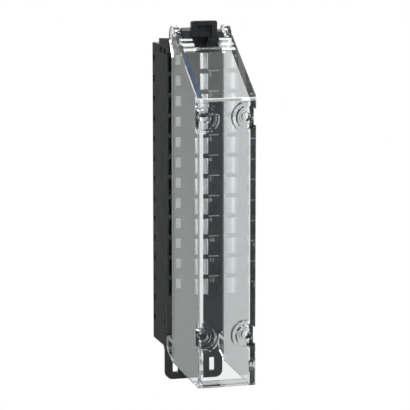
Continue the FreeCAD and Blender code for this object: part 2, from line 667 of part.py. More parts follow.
def build_cover(doc):
    """Clear channel cover with sloped top, ears, grip ribs, round pockets and loops."""
    body = new_body(doc, "cover")
    inner = "(" + COVER_HALF + " - <cover_wall>)"
    half = COVER_HALF
    slope_run = "(<cover_front> - " + PANEL_END + ")"
    slope_top = "(" + SHOULDER + " + <cover_slope> * " + slope_run + ")"
    ear_back = "(<hinge_depth> - <ear_radius> * 0.97)"

    side = new_sketch(body, "CoverSide", "YZ_Plane")
    outline(side, [
        ("-<cover_front>", "-" + COVER_BOTTOM),
        ("-" + COVER_BACK, "-" + COVER_BOTTOM + " + <cover_bottom_rise>"),
        ("-" + COVER_BACK, HINGE_Z + " - <ear_waist>"),
        ("-" + ear_back, HINGE_Z + " - <ear_radius> * 0.243"),
        ("-<hinge_depth>", HINGE_Z + " + 0.01"),
        ("-<hinge_depth> - <ear_radius> * 0.8", HINGE_Z + " + <ear_radius> * 0.6"),
        ("-" + PANEL_END, slope_top),
        ("-<cover_front>", SHOULDER),
    ])
    add_pad(body, side, COVER_HALF + " * 2", midplane=True)

    ear = new_sketch(body, "CoverEar", "YZ_Plane")
    circle(ear, ("-<hinge_depth>", HINGE_Z), "<ear_radius> * 2")
    add_pad(body, ear, COVER_HALF + " * 2", midplane=True)

    add_fillet(doc, body, "CoverEdges", "<cover_edge>", lambda edge: (
        runs_along(edge, 2) and edge.CenterOfMass.y < -SIZES["cover_front"] + 0.01))

    ribs = new_sketch(body, "GripRibs", "YZ_Plane")
    for index in range(SIZES["rib_count"]):
        near = "(" + RIB_FIRST + " - %d * <rib_pitch>)" % index
        far = "(" + near + " - <rib_width>)"
        near_z = "(" + SHOULDER + " + <cover_slope> * (<cover_front> - " + near + "))"
        far_z = "(" + SHOULDER + " + <cover_slope> * (<cover_front> - " + far + "))"
        outline(ribs, [("-" + near, near_z + " - <rib_height>"), ("-" + near, near_z + " + <rib_height>"),
                       ("-" + far, far_z + " + <rib_height>"), ("-" + far, far_z + " - <rib_height>")])
    add_pad(body, ribs, inner + " * 2 + <cover_wall>", midplane=True)

    cups = new_sketch(body, "CupBlocks", "XZ_Plane", "<cover_front> - <cover_edge>")
    cup_radius = "(<cup_diameter> / 2 + <cup_wall>)"
    for x_side in (-1, 1):
        for height in (CUP_UPPER, "-" + CUP_LOWER):
            draw_cup(cups, x_side, height, cup_radius)

    hollow = new_sketch(body, "CoverHollow", "YZ_Plane")
    drop = "<cover_wall> * sqrt(1 + <cover_slope> * <cover_slope>)"
    outline(hollow, [
        ("-<cover_front> + <cover_wall>", "-" + COVER_BOTTOM + " - <cover_wall>"),
        ("-<cover_front> + <cover_wall>",
         SHOULDER + " + <cover_slope> * <cover_wall> - " + drop),
        ("-" + PANEL_END + " - 0.01", slope_top + " - " + drop),
        ("-" + PANEL_END + " - 0.01", HINGE_Z + " + <ear_radius> * 2"),
        ("-<hinge_depth> + <ear_radius> * 2", HINGE_Z + " + <ear_radius> * 2"),
        ("-<hinge_depth> + <ear_radius> * 2", "-" + COVER_BOTTOM + " - <cover_wall>"),
    ])
    add_pocket(body, hollow, inner + " * 2", midplane=True)

    add_pad(body, cups, "<cup_sink> + <cup_wall> - <cover_edge>", backwards=True)
    bowls = new_sketch(body, "CupBowls", "XZ_Plane", "<cover_front>")
    for sign in ("-", ""):
        for height in (CUP_UPPER, "-" + CUP_LOWER):
            circle(bowls, (sign + "(" + half + " - <cup_inset>)", height), "<cup_diameter>")
    add_pocket(body, bowls, "<cup_sink>")
    rings = new_sketch(body, "CupRings", "XZ_Plane", "<cover_front> - <cup_sink> - <cup_wall> / 2")
    for sign in ("-", ""):
        for height in (CUP_UPPER, "-" + CUP_LOWER):
            circle(rings, (sign + "(" + half + " - <cup_inset>)", height), "<cup_ring_outer>")
    add_pad(body, rings, "<cup_ring_height> + <cup_wall> / 2")
    holes = new_sketch(body, "CupHoles", "XZ_Plane", "<cover_front>")
    for sign in ("-", ""):
        for height in (CUP_UPPER, "-" + CUP_LOWER):
            circle(holes, (sign + "(" + half + " - <cup_inset>)", height), "<cup_hole>")
    add_pocket(body, holes, "<cup_sink> + <cup_wall> * 2")

    cutout = new_sketch(body, "LeverCutout", "XY_Plane", HINGE_Z)
    rectangle(cutout, "-<lever_width> / 2 - <cutout_gap>", "<lever_width> / 2 + <cutout_gap>",
              "-" + CUTOUT_FRONT, "-" + PANEL_END + " + 1")
    add_pocket(body, cutout, "<ear_radius> * 5", midplane=True)

    lip = new_sketch(body, "BottomLip", "XY_Plane", "-" + COVER_BOTTOM)
    rectangle(lip, "-" + inner + " - 0.2", inner + " + 0.2",
              "-<cover_front> + <cover_wall> - 0.2", "-<cover_front> + <cover_wall> + <lip_reach>")
    add_pad(body, lip, "<lip_thickness>")

    add_loops(doc, body, half)

    eyes = new_sketch(body, "EarEyes", "YZ_Plane")
    circle(eyes, ("-<hinge_depth>", HINGE_Z), "<pin_diameter> + <pin_clearance> * 2")
    add_pocket(body, eyes, "(" + inner + " + <ear_recess>) * 2", midplane=True)
    return body


def draw_cup(sketch, x_side, height, radius):
    """Draw the outline of one round pocket's block: half a disc run out to the side wall."""
    sign = "-" if x_side < 0 else ""
    centre_x = sign + "(" + COVER_HALF + " - <cup_inset>)"
    edge_x = sign + "(" + COVER_HALF + " - 0.2)"
    cx = value_of(sketch, centre_x)
    cz = value_of(sketch, height)
    r = value_of(sketch, radius)
    ex = value_of(sketch, edge_x)
    quarter = 3.14159265 / 2
    start, end = (-quarter, quarter) if x_side < 0 else (quarter, 3 * quarter)
    ring = Part.Circle(FreeCAD.Vector(cx, cz, 0), FreeCAD.Vector(0, 0, 1), r)
    arc = sketch.addGeometry(Part.ArcOfCircle(ring, start, end))
    first, last = sketch.getPoint(arc, 1), sketch.getPoint(arc, 2)
    high = FreeCAD.Vector(ex, last.y, 0)
    low = FreeCAD.Vector(ex, first.y, 0)
    one = sketch.addGeometry(Part.LineSegment(last, high))
    two = sketch.addGeometry(Part.LineSegment(high, low))
    three = sketch.addGeometry(Part.LineSegment(low, first))
    for a, pa, b, pb in ((arc, 2, one, 1), (one, 2, two, 1), (two, 2, three, 1), (three, 2, arc, 1)):
        sketch.addConstraint(Sketcher.Constraint("Coincident", a, pa, b, pb))
    sketch.addConstraint(Sketcher.Constraint("Horizontal", one))
    sketch.addConstraint(Sketcher.Constraint("Vertical", two))
    sketch.addConstraint(Sketcher.Constraint("Horizontal", three))
    sketch.addConstraint(Sketcher.Constraint("Vertical", arc, 1, arc, 3))
    sketch.addConstraint(Sketcher.Constraint("Vertical", arc, 2, arc, 3))
    hold_point(sketch, arc, 3, (centre_x, height))
    hold(sketch, "Radius", (arc,), radius)
    hold(sketch, "DistanceX", (-1, 1, two, 1), edge_x)


def add_loops(doc, body, half):
    """Add the two D-shaped loops that stand behind the cover's side walls."""
    loop = new_sketch(body, "Loop", "YZ_Plane", half + " - <loop_thickness>")
    outline(loop, [
        ("-" + COVER_BACK + " - <loop_bar>", "-" + LOOP_BOTTOM),
        ("-" + COVER_BACK, "-" + LOOP_BOTTOM),
        ("-" + LOOP_END + " - <loop_corner>", "-" + LOOP_BOTTOM + " + <loop_corner>"),
        ("-" + LOOP_END, "-" + LOOP_BOTTOM + " + <loop_corner> * 2"),
        ("-" + LOOP_END, "-" + LOOP_TOP + " - <loop_corner> * 0.5"),
        ("-" + LOOP_END + " - <loop_corner> * 0.5", "-" + LOOP_TOP),
        ("-" + COVER_BACK + " - <loop_bar>", "-" + LOOP_TOP),
    ])
    pad = add_pad(body, loop, "<loop_thickness>")
    mirror = body.newObject("PartDesign::Mirrored", "OtherLoop")
    mirror.Originals = [pad]
    mirror.MirrorPlane = (plane_of(body, "YZ_Plane"), [""])
    body.Tip = mirror
    slot = new_sketch(body, "LoopSlot", "YZ_Plane")
    outline(slot, [
        ("-" + COVER_BACK, "-" + LOOP_BOTTOM + " + <loop_corner>"),
        ("-" + LOOP_END + " - <loop_bar> - <loop_corner> * 0.5", "-" + LOOP_BOTTOM + " + <loop_corner>"),
        ("-" + LOOP_END + " - <loop_bar>", "-" + LOOP_BOTTOM + " + <loop_corner> * 1.5"),
        ("-" + LOOP_END + " - <loop_bar>", "-" + LOOP_TOP + " - <loop_bar> * 0.6"),
        ("-" + COVER_BACK, "-" + LOOP_TOP + " - <loop_bar> * 0.6"),
    ])
    add_pocket(body, slot, COVER_HALF + " * 2 + <cover_wall>", midplane=True)


def check(doc, pieces):
    """Stop if any feature failed or any piece is empty or broken."""
    for item in doc.Objects:
        for word in ("Invalid", "Error"):
            if word in item.State:
                raise RuntimeError("failed: " + item.Name)
    for piece in pieces:
        shape = piece.Shape
        if shape.isNull() or not shape.isValid() or not shape.Solids:
            raise RuntimeError("bad shape: " + piece.Label)
        box = shape.BoundBox
        print("%-14s solids %d volume %9.2f x %7.2f %7.2f y %7.2f %7.2f z %7.2f %7.2f" % (
            piece.Label, len(shape.Solids), shape.Volume,
            box.XMin, box.XMax, box.YMin, box.YMax, box.ZMin, box.ZMax))


def main():
    """Build every piece, check it and write it out."""
    doc = FreeCAD.newDocument("TerminalBlock")
    make_sheet(doc)
    pieces = [build_housing(doc), build_strip(doc), build_pin(doc, "pin_left", -1),
              build_pin(doc, "pin_right", 1), build_lever(doc), build_cover(doc)]
    for number in range(1, SIZES["ways"] + 1):
        pieces.append(build_contact(doc, number))
        pieces.append(build_clamp(doc, number))
        pieces.append(build_marker(doc, number))
    doc.recompute()
    check(doc, pieces)
    os.makedirs("parts", exist_ok=True)
    for piece in pieces:
        piece.Shape.exportStep("parts/" + piece.Label + ".step")


main()
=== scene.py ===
"""Looks of a plug-on terminal block with a hinged clear cover, over its CAD frame."""

import json
import logging
import math
from dataclasses import dataclass
from enum import Enum

import bmesh
import bpy
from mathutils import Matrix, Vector

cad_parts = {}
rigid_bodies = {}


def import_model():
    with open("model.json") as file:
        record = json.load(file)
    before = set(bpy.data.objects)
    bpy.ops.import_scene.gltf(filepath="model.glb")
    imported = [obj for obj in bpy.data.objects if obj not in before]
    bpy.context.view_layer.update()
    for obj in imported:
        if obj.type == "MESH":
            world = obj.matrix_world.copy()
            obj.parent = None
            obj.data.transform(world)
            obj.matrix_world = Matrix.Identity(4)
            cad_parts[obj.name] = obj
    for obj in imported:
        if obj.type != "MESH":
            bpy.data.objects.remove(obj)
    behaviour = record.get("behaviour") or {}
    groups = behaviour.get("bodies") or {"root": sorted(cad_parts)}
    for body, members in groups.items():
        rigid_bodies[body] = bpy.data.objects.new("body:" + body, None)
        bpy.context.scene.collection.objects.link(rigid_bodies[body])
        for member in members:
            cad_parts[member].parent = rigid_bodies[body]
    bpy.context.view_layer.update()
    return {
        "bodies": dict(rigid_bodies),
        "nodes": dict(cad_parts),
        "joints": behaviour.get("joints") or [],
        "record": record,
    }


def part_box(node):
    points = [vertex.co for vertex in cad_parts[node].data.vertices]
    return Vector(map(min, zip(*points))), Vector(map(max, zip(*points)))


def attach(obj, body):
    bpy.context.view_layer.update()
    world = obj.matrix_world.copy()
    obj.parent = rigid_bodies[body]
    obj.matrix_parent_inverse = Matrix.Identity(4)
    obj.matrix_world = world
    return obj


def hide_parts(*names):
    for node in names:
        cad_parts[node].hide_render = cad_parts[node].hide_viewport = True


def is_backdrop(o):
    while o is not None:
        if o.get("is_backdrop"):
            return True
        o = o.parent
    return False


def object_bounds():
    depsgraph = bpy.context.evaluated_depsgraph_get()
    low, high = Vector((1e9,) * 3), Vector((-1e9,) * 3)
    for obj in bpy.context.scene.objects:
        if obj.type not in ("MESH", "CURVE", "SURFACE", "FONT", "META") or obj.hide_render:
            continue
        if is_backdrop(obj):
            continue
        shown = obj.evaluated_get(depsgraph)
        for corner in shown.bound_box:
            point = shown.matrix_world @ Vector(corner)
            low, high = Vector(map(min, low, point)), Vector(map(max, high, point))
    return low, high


logging.basicConfig(level=logging.INFO, format="%(levelname)s %(message)s")
LOG = logging.getLogger("terminal_block")

MM = 0.001
WAYS = 12

# Bounces enough for rays that cross both cover walls, a pocket and the pieces behind them.
LIGHT_PATHS = {
    "max_bounces": 24,
    "transmission_bounces": 20,
    "transparent_max_bounces": 16,
    "glossy_bounces": 8,
}

Socket = bpy.types.NodeSocket
Value = float | Socket


class Quality(Enum):
    """Number of segments across each rounded edge."""

    QUICK = 1
    FULL = 2


def quality() -> Quality:
    """Pick the quality of this run.
    """
    return Quality.FULL


def linear(hex_code: str) -> tuple[float, float, float, float]:
    """Turn a written sRGB colour into the linear colour that shaders take.

    Args:
        hex_code: Colour as #rrggbb.

    Returns:
        Linear red, green, blue and an alpha of one.
    """
    channels = [int(hex_code[i:i + 2], 16) / 255 for i in (1, 3, 5)]
    shades = [c / 12.92 if c <= 0.04045 else ((c + 0.055) / 1.055) ** 2.4 for c in channels]
    return (*shades, 1.0)


class NodeGraph:
    """A node tree with a short way to add and join nodes."""

    # The range that a noise value keeps to for the most part.
    NOISE = (0.3, 0.7)

    def __init__(self, tree: bpy.types.NodeTree) -> None:
        """Take a tree over and empty it.

        Args:
            tree: Node tree of a material or of the world.
        """
        self.tree = tree
        tree.nodes.clear()

    def add(self, kind: str, settings: dict | None = None, **inputs: object) -> bpy.types.Node:
        """Add a node.

        Args:
            kind: Type name of the node.
            settings: Attributes to set on the node.
            inputs: Socket name with underscores for spaces, or i0, i1, to a value or a socket.

        Returns:
            The new node.
        """
        node = self.tree.nodes.new(kind)
        for name, value in (settings or {}).items():
            setattr(node, name, value)
        for name, value in inputs.items():
            is_index = name[0] == "i" and name[1:].isdigit()
            socket = node.inputs[int(name[1:]) if is_index else name.replace("_", " ")]
            if isinstance(value, bpy.types.NodeSocket):
                self.tree.links.new(value, socket)
            else:
                socket.default_value = value
        return node

    def math(self, operation: str, *values: Value) -> Socket:
        """Add a math node.

        Args:
            operation: Name of the operation.
            values: Numbers or sockets, in order.

        Returns:
            The result's socket.
        """
        inputs = {f"i{i}": value for i, value in enumerate(values)}
        return self.add("ShaderNodeMath", {"operation": operation}, **inputs).outputs[0]

    def along(self, way: Socket, axis: Vector | tuple[float, float, float]) -> Socket:
        """Add the dot product of a direction and an axis.

        Args:
            way: Socket of the direction.
            axis: The axis.

        Returns:
            Socket of the product.
        """
        return self.add("ShaderNodeVectorMath", {"operation": "DOT_PRODUCT"},
                        i0=way, i1=axis).outputs["Value"]

    def between(self, value: Socket, low_mm: float, high_mm: float) -> Socket:
        """Find where a place lies between two limits.

        Args:
            value: Socket of a coordinate, in metres.
            low_mm: Low limit in millimetres.
            high_mm: High limit in millimetres.

        Returns:
            Socket that is one between the limits and zero elsewhere.
        """
        above = self.math("GREATER_THAN", value, low_mm * MM)
        return self.math("MULTIPLY", above, self.math("LESS_THAN", value, high_mm * MM))

    def grain(self, size_mm: float, detail: float = 3.0,
              stretch: Vector | None = None) -> Socket:
        """Add noise laid in the object's own space.

        Args:
            size_mm: Size of one grain in millimetres.
            detail: Number of finer layers.
            stretch: Scale along each axis, for brushed or drawn grain.

        Returns:
            Socket of the noise value.
        """
        place = self.add("ShaderNodeTexCoord").outputs["Object"]
        if stretch is not None:
            place = self.add("ShaderNodeMapping", Vector=place, Scale=stretch).outputs[0]
        return self.add("ShaderNodeTexNoise", Vector=place, Scale=1 / (size_mm * MM),
                        Detail=detail).outputs[0]

    def ramp(self, value: Socket, low: float, high: float) -> Socket:
        """Spread a noise value, which stays within about 0.3 to 0.7, between two limits.

        Args:
            value: Socket to spread.
            low: Result at the low end.
            high: Result at the high end.

        Returns:
            Socket of the spread value.
        """
        return self.add("ShaderNodeMapRange", Value=value, From_Min=self.NOISE[0],
                        From_Max=self.NOISE[1], To_Min=low, To_Max=high).outputs[0]

    def tint(self, value: Socket, dark: str, light: str) -> Socket:
        """Blend two written colours by a value.

        Args:
            value: Socket of the blend.
            dark: Colour at the low end.
            light: Colour at the high end.

        Returns:
            Socket of the colour.
        """
        # For colours, sockets 6 and 7 are the node's pair, and output 2 is its result.
        blend = self.add("ShaderNodeMix", {"data_type": "RGBA"}, i0=value)
        blend.inputs[6].default_value = linear(dark)
        blend.inputs[7].default_value = linear(light)
        return blend.outputs[2]

    def bump(self, height: Socket, depth_mm: float, strength: float = 1.0) -> Socket:
        """Add a bump.

        Args:
            height: Socket of the height.
            depth_mm: Depth of the relief in millimetres.
            strength: Share of the bump that shows.

        Returns:
            Socket of the bent normal.
        """
        return self.add("ShaderNodeBump", Strength=strength, Distance=depth_mm * MM,
                        Height=height).outputs[0]

    def finish(self, shader: Socket) -> None:
        """Join a shader to the output.

        Args:
            shader: Socket of the surface.
        """
        self.add("ShaderNodeOutputMaterial", Surface=shader)


@dataclass(frozen=True)
class MouldedPlastic:
    """Opaque moulded plastic with a spark-eroded grain.

    The mould's etched wall gives a fine grain, and the slow cooling leaves a faint mottle, so
    highlights spread and vary a little.
    """

    name: str
    dark: str
    light: str
    roughness: float
    grain_mm: float = 0.35
    grain_depth_mm: float = 0.012
    mottle_mm: float = 9.0
    roughness_spread: float = 0.05
    ior: float = 1.5
    specular: float = 0.22

    def make(self) -> bpy.types.Material:
        """Build the material.

        Returns:
            The finished material.
        """
        material = bpy.data.materials.new(self.name)
        material.use_nodes = True
        graph = NodeGraph(material.node_tree)
        fine = graph.grain(self.grain_mm, 4.0)
        slow = graph.grain(self.mottle_mm, 2.0)
        smooth = self.roughness - self.roughness_spread
        rough = self.roughness + self.roughness_spread
        surface = graph.add(
            "ShaderNodeBsdfPrincipled",
            Base_Color=graph.tint(graph.ramp(slow, 0.0, 1.0), self.dark, self.light),
            Roughness=graph.ramp(slow, smooth, rough),
            IOR=self.ior,
            Specular_IOR_Level=self.specular,
            Normal=graph.bump(fine, self.grain_depth_mm))
        graph.finish(surface.outputs[0])
        return material


@dataclass(frozen=True)
class PressedMetal:
    """Plated sheet metal, cut and pressed.

    Rolling leaves fine lines along the strip, and the plating softens the shine into broad bands.
    """

    name: str
    dark: str
    light: str
    roughness: float
    line_mm: float = 0.5
    metallic: float = 1.0
    line_stretch: float = 0.12
    line_depth_mm: float = 0.01
    line_share: float = 0.6
    smoother: float = 0.06
    rougher: float = 0.08

    def make(self) -> bpy.types.Material:
        """Build the material.

        Returns:
            The finished material.
        """
        material = bpy.data.materials.new(self.name)
        material.use_nodes = True
        graph = NodeGraph(material.node_tree)
        lines = graph.grain(self.line_mm, 3.0, Vector((1.0, 1.0, self.line_stretch)))
        surface = graph.add(
            "ShaderNodeBsdfPrincipled",
            Base_Color=graph.tint(graph.ramp(lines, 0.0, 1.0), self.dark, self.light),
            Metallic=self.metallic,
            Roughness=graph.ramp(lines, self.roughness - self.smoother,
                                 self.roughness + self.rougher),
            Normal=graph.bump(lines, self.line_depth_mm, self.line_share))
        graph.finish(surface.outputs[0])
        return material


@dataclass(frozen=True)
class CoverZones:
    """Places on the cover where a pale painted highlight or a blue painted light is mixed in.

    Lengths are in millimetres from the frame's origin, and shares are of the whole surface.
    """

    front: float = -64.7
    shoulder: float = 40.33
    slope: float = 0.62
    # How far a zone on the front face starts before it and reaches behind it.
    before: float = 1.0
    wall_end_skin: float = 0.7
    edge_skin: float = 0.5
    # The left wall's end face, from its outer to its inner side.
    wall_end: tuple[float, float] = (-11.0, -8.8)
    wall_end_share: float = 0.13
    # The front's top edge, as heights about the shoulder, and the softer band below it.
    edge: tuple[float, float] = (-0.3, 0.1)
    edge_share: float = 0.5
    band: tuple[float, float] = (-1.1, 0.0)
    band_share: float = 0.25
    # The grip ribs: height above the slope, depth, and the half width that the cut-out takes.
    rib_rise: tuple[float, float] = (0.42, 1.0)
    rib_depth: tuple[float, float] = (-42.6, -36.0)
    rib_inner: float = 4.9
    rib_share: float = 0.5
    # The sloped panel's left margin, on faces that look up, where the blue painted light goes.
    margin: tuple[float, float] = (-10.15, -9.0)
    margin_start: float = 0.4
    margin_end: float = -44.0
    margin_upward: float = 0.5
    margin_share: float = 0.8


@dataclass(frozen=True)
class ClearPlastic:
    """Clear moulded polycarbonate.

    The polished mould leaves a glossy face with very slow waves, which bend what is seen through
    it. Light and bounced light pass through it plainly, so that the pieces behind are lit. The
    left wall's end face, the front's top edge and the grip ribs get a pale matt white, a painted
    highlight that stands in for the glints on these edges. The sloped panel's left margin gets a
    flat blue colour, painted light that stands in for the cool light gathered inside the wall.
    """

    name: str
    tint_code: str
    ior: float = 1.58
    roughness: float = 0.015
    haze_mm: float = 4.0
    wave_mm: float = 22.0
    wave_depth_mm: float = 0.02
    wave_share: float = 0.2
    # Pale white mixed in as a painted highlight on the cover's end face, top edge and grip ribs.
    matt_code: str = "#f4f6f6"
    # Blue mixed in as painted light on the sloped panel's left margin.
    cool_code: str = "#3b4c66"
    zones: CoverZones = CoverZones()

    def matt_share(self, graph: NodeGraph, place: list[Socket]) -> Socket:
        """Find how much pale painted highlight each place of the cover gets.

        Args:
            graph: The material's graph.
            place: Sockets of the three coordinates.

        Returns:
            Socket of the share.
        """
        zones = self.zones
        across, depth, height = place[0], place[1], place[2]
        end_skin = graph.between(depth, zones.front - zones.before,
                                 zones.front + zones.wall_end_skin)
        end = graph.math("MULTIPLY", graph.between(across, *zones.wall_end), end_skin)
        skin = graph.between(depth, zones.front - zones.before, zones.front + zones.edge_skin)
        edge = graph.between(height, *(zones.shoulder + limit for limit in zones.edge))
        line = graph.math("MULTIPLY", edge, skin)
        below = graph.between(height, *(zones.shoulder + limit for limit in zones.band))
        band = graph.math("MULTIPLY", below, skin)
        rise = graph.math("MULTIPLY_ADD", depth, -zones.slope, height)
        above = graph.math("SUBTRACT", rise, (zones.shoulder - zones.slope * zones.front) * MM)
        raised = graph.math("MULTIPLY", graph.between(above, *zones.rib_rise),
                            graph.between(depth, *zones.rib_depth))
        beside = graph.math("GREATER_THAN", graph.math("ABSOLUTE", across), zones.rib_inner * MM)
        ribs = graph.math("MULTIPLY", raised, beside)
        total = 0.0
        for zone, share in ((end, zones.wall_end_share), (line, zones.edge_share),
                            (band, zones.band_share), (ribs, zones.rib_share)):
            total = graph.math("MAXIMUM", graph.math("MULTIPLY", zone, share), total)
        return total

    def cool_zone(self, graph: NodeGraph, place: list[Socket], upright: Socket) -> Socket:
        """Find the sloped panel's left margin, which gets the blue painted light.

        Args:
            graph: The material's graph.
            place: Sockets of the three coordinates.
            upright: Socket of the normal's upward part.

        Returns:
            Socket of the share.
        """
        zones = self.zones
        margin = graph.between(place[0], *zones.margin)
        sloped = graph.between(place[1], zones.front + zones.margin_start, zones.margin_end)
        lower = graph.math("MULTIPLY", margin, sloped)
        outside = graph.math("GREATER_THAN", upright, zones.margin_upward)
        return graph.math("MULTIPLY", graph.math("MULTIPLY", lower, outside), zones.margin_share)

    def make(self) -> bpy.types.Material:
        """Build the material.

        Returns:
            The finished material.
        """
        material = bpy.data.materials.new(self.name)
        material.use_nodes = True
        graph = NodeGraph(material.node_tree)
        waves = graph.grain(self.wave_mm, 1.0)
        haze = graph.grain(self.haze_mm, 3.0)
        glass = graph.add(
            "ShaderNodeBsdfPrincipled",
            Base_Color=linear(self.tint_code),
            Roughness=graph.ramp(haze, self.roughness * 0.5, self.roughness * 1.5),
            IOR=self.ior,
            Transmission_Weight=1.0,
            Normal=graph.bump(waves, self.wave_depth_mm, self.wave_share))
        spot = graph.add("ShaderNodeTexCoord")
        place = graph.add("ShaderNodeSeparateXYZ", Vector=spot.outputs["Object"]).outputs
        normal = graph.add("ShaderNodeSeparateXYZ", Vector=spot.outputs["Normal"]).outputs
        # Diffuse pale white, a painted highlight standing in for the glints on these edges and
        # ribs.
        painted_highlight = graph.add("ShaderNodeBsdfDiffuse", Color=linear(self.matt_code))
        pale = graph.add("ShaderNodeMixShader", i0=self.matt_share(graph, place),
                         i1=glass.outputs[0], i2=painted_highlight.outputs[0])
        # A flat blue colour, painted light that stands in for the cool light gathered inside the
        # wall.
        blue = graph.add("ShaderNodeBsdfDiffuse", Color=linear(self.cool_code))
        body = graph.add("ShaderNodeMixShader", i0=self.cool_zone(graph, place, normal[2]),
                         i1=pale.outputs[0], i2=blue.outputs[0])
        clear = graph.add("ShaderNodeBsdfTransparent", Color=linear(self.tint_code))
        path = graph.add("ShaderNodeLightPath")
        passing = graph.math("MAXIMUM", path.outputs["Is Shadow Ray"],
                             path.outputs["Is Diffuse Ray"])
        mixed = graph.add("ShaderNodeMixShader", i0=passing,
                          i1=body.outputs[0], i2=clear.outputs[0])
        graph.finish(mixed.outputs[0])
        return material


class Finish(Enum):
    """The real materials of the block."""

    # Glass filled nylon, moulded against a spark-eroded wall: near black, a soft even sheen with a
    # fine grain, and a faint mottle from the fibres.
    HOUSING = MouldedPlastic("black_glass_filled_nylon", "#1c1e20", "#242628", 0.5)
    # Acetal, moulded with a finer grain: black and a little shinier, so its edges catch the light.
    LEVER = MouldedPlastic("black_acetal", "#191a1c", "#202224", 0.34, 0.5, 0.008)
    # Polyamide marker plates, moulded smooth: black like the housing, with tighter highlights.
    MARKER = MouldedPlastic("black_marker_plastic", "#1c1e20", "#242628", 0.38, 0.3, 0.01)
    # Unfilled polyamide carrier, moulded: nearly white, so it shows as light lines between plates.
    STRIP = MouldedPlastic("pale_carrier_plastic", "#eeefef", "#f6f7f7", 0.45)
    # Pad printed ink: a thin flat grey coat that looks dull beside the plates.
    PRINT = MouldedPlastic("pale_marking_ink", "#8e9092", "#9a9c9e", 0.55, 0.2, 0.004)
    # Sheet steel, pressed and zinc plated: light grey metal with broad soft shines.
    CLAMP = PressedMetal("zinc_plated_steel", "#d0d2d2", "#e2e4e4", 0.42)
    # Brass strip, stamped and matt tinned: a pale dull coat that looks almost white.
    CONTACT = PressedMetal("tinned_brass", "#f0f1ef", "#fafbf9", 0.45, 0.4, 0.2)
    # Drawn steel wire, cut and blackened: dark metal with narrow shines along the pin.
    PIN = PressedMetal("blackened_steel", "#2a2a2c", "#3a3a3c", 0.38)
    # Polycarbonate, moulded in a polished mould: clear, with bright edges where the walls turn.
    # The pale white on the end face, top edge and grip ribs is a painted highlight.
    COVER = ClearPlastic("clear_polycarbonate", "#f4f7f7")

    def material(self) -> bpy.types.Material:
        """Get the material, built on first use.

        Returns:
            The material.
        """
        found = bpy.data.materials.get(self.value.name)
        return found or self.value.make()


def paint(piece: bpy.types.Object, finish: Finish) -> None:
    """Give a piece one finish all over.

    Args:
        piece: Mesh object.
        finish: Its finish.
    """
    piece.data.materials.clear()
    piece.data.materials.append(finish.material())
    LOG.info("%s: %s", piece.name, finish.value.name)


@dataclass(frozen=True)
class EdgeSizes:
    """Rounding of a moulded or pressed piece's edges."""

    width_mm: float
    angle_deg: float = 32.0


class DressedPiece:
    """A CAD node shown with rounded edges, in its place."""

    # A facet of a round wall is a small four-sided face; anything else is flat.
    ROUND_FACE_MM2 = 6.0
    WELD_MM = 0.002
    FLAT_DEG = 0.5

    def __init__(self, frame: dict, node: str, body: str, finish: Finish,
                 edges: EdgeSizes) -> None:
        """Copy the node's shape, round its edges and hide the node.

        Args:
            node: Name of the CAD node.
            body: Name of the body it moves with.
            finish: Its finish.
            edges: Its edge rounding.
        """
        source = frame["nodes"][node]
        mesh = source.data.copy()
        mesh.name = node + "_dressed"
        self.clean(mesh)
        self.piece = bpy.data.objects.new(node + "_dressed", mesh)
        bpy.context.scene.collection.objects.link(self.piece)
        bevel = self.piece.modifiers.new("edges", "BEVEL")
        bevel.width = edges.width_mm * MM
        bevel.segments = quality().value
        bevel.limit_method = "ANGLE"
        bevel.angle_limit = math.radians(edges.angle_deg)
        bevel.use_clamp_overlap = True
        mesh.shade_smooth()
        mesh.set_sharp_from_angle(angle=math.radians(edges.angle_deg))
        for face in mesh.polygons:
            face.use_smooth = len(face.vertices) == 4 and face.area < self.ROUND_FACE_MM2 * MM * MM
        paint(self.piece, finish)
        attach(self.piece, body)
        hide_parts(node)

    @staticmethod
    def clean(mesh: bpy.types.Mesh) -> None:
        """Join the facets of flat faces, so that the bevel finds only real edges.

        Args:
            mesh: Mesh to clean.
        """
        work = bmesh.new()
        work.from_mesh(mesh)
        bmesh.ops.remove_doubles(work, verts=work.verts, dist=DressedPiece.WELD_MM * MM)
        bmesh.ops.dissolve_limit(work, angle_limit=math.radians(DressedPiece.FLAT_DEG),
                                 verts=work.verts, edges=work.edges)
        work.to_mesh(mesh)
        work.free()


@dataclass(frozen=True)
class NumberSizes:
    """Sizes of the printed numbers on the marker plates."""

    height_mm: float = 1.45
    size_per_height: float = 1.38
    thickness_mm: float = 0.02
    side_margin_mm: float = 0.05
    top_margin_mm: float = 0.25


class Numbers:
    """The plain way numbers, printed near the upper left corner of each marker plate."""

    def __init__(self, frame: dict, sizes: NumberSizes) -> None:
        """Print a number on each plate.

        Args:
            sizes: Sizes of the figures.
        """
        for way in range(1, WAYS + 1):
            low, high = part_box(f"marker_{way:02d}")
            curve = bpy.data.curves.new(f"number_{way:02d}", "FONT")
            curve.body = str(way)
            curve.size = sizes.height_mm * MM * sizes.size_per_height
            curve.extrude = sizes.thickness_mm * MM
            curve.align_x = "LEFT"
            curve.align_y = "TOP"
            text = bpy.data.objects.new(curve.name, curve)
            bpy.context.scene.collection.objects.link(text)
            text.rotation_euler = (math.pi / 2, 0, 0)
            text.location = (low.x + sizes.side_margin_mm * MM, low.y,
                             high.z - sizes.top_margin_mm * MM)
            bpy.context.view_layer.update()
            mesh = bpy.data.meshes.new_from_object(text.evaluated_get(
                bpy.context.evaluated_depsgraph_get()))
            piece = bpy.data.objects.new(f"number_{way:02d}_print", mesh)
            piece.matrix_world = text.matrix_world.copy()
            bpy.context.scene.collection.objects.link(piece)
            bpy.data.objects.remove(text)
            paint(piece, Finish.PRINT)
            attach(piece, "block")


@dataclass(frozen=True)
class BlockSizes:
    """Edge rounding of the fixed part's pieces."""

    moulded: EdgeSizes = EdgeSizes(0.18)
    pressed: EdgeSizes = EdgeSizes(0.12)
    numbers: NumberSizes = NumberSizes()


